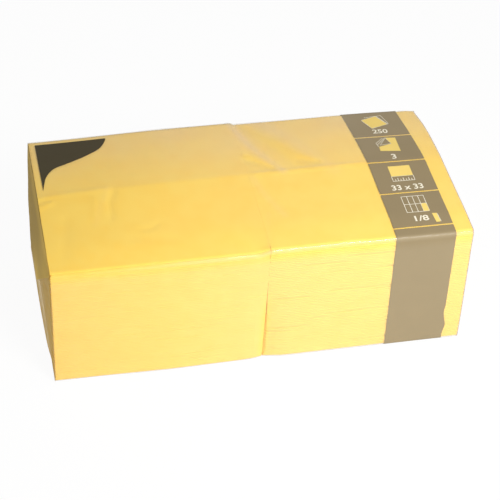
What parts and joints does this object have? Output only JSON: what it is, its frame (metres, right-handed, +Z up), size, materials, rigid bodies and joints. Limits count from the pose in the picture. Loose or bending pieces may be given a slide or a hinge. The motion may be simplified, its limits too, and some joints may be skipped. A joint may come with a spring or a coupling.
{
  "type": "film-wrapped stack of paper napkins",
  "caption": "Stacks of folded paper napkins, closed folds outwards, side by side in a clear film wrapper with folded and sealed ends.",
  "frame": {"origin": "middle of the underside of the pack", "axes": "+X along the pack's long side, +Y from the front, where the print's signs read upright, to the back, +Z up"},
  "size_m": [0.3496, 0.1678, 0.12],
  "materials": {
    "napkin_paper": "soft embossed tissue, matt",
    "clear_film": "thin clear glossy film with a printed band"
  },
  "bodies": {
    "root": {"napkins_front_left": "napkin_paper", "napkins_front_right": "napkin_paper", "napkins_back_left": "napkin_paper", "napkins_back_right": "napkin_paper", "wrapper": "clear_film"}
  },
  "joints": []
}
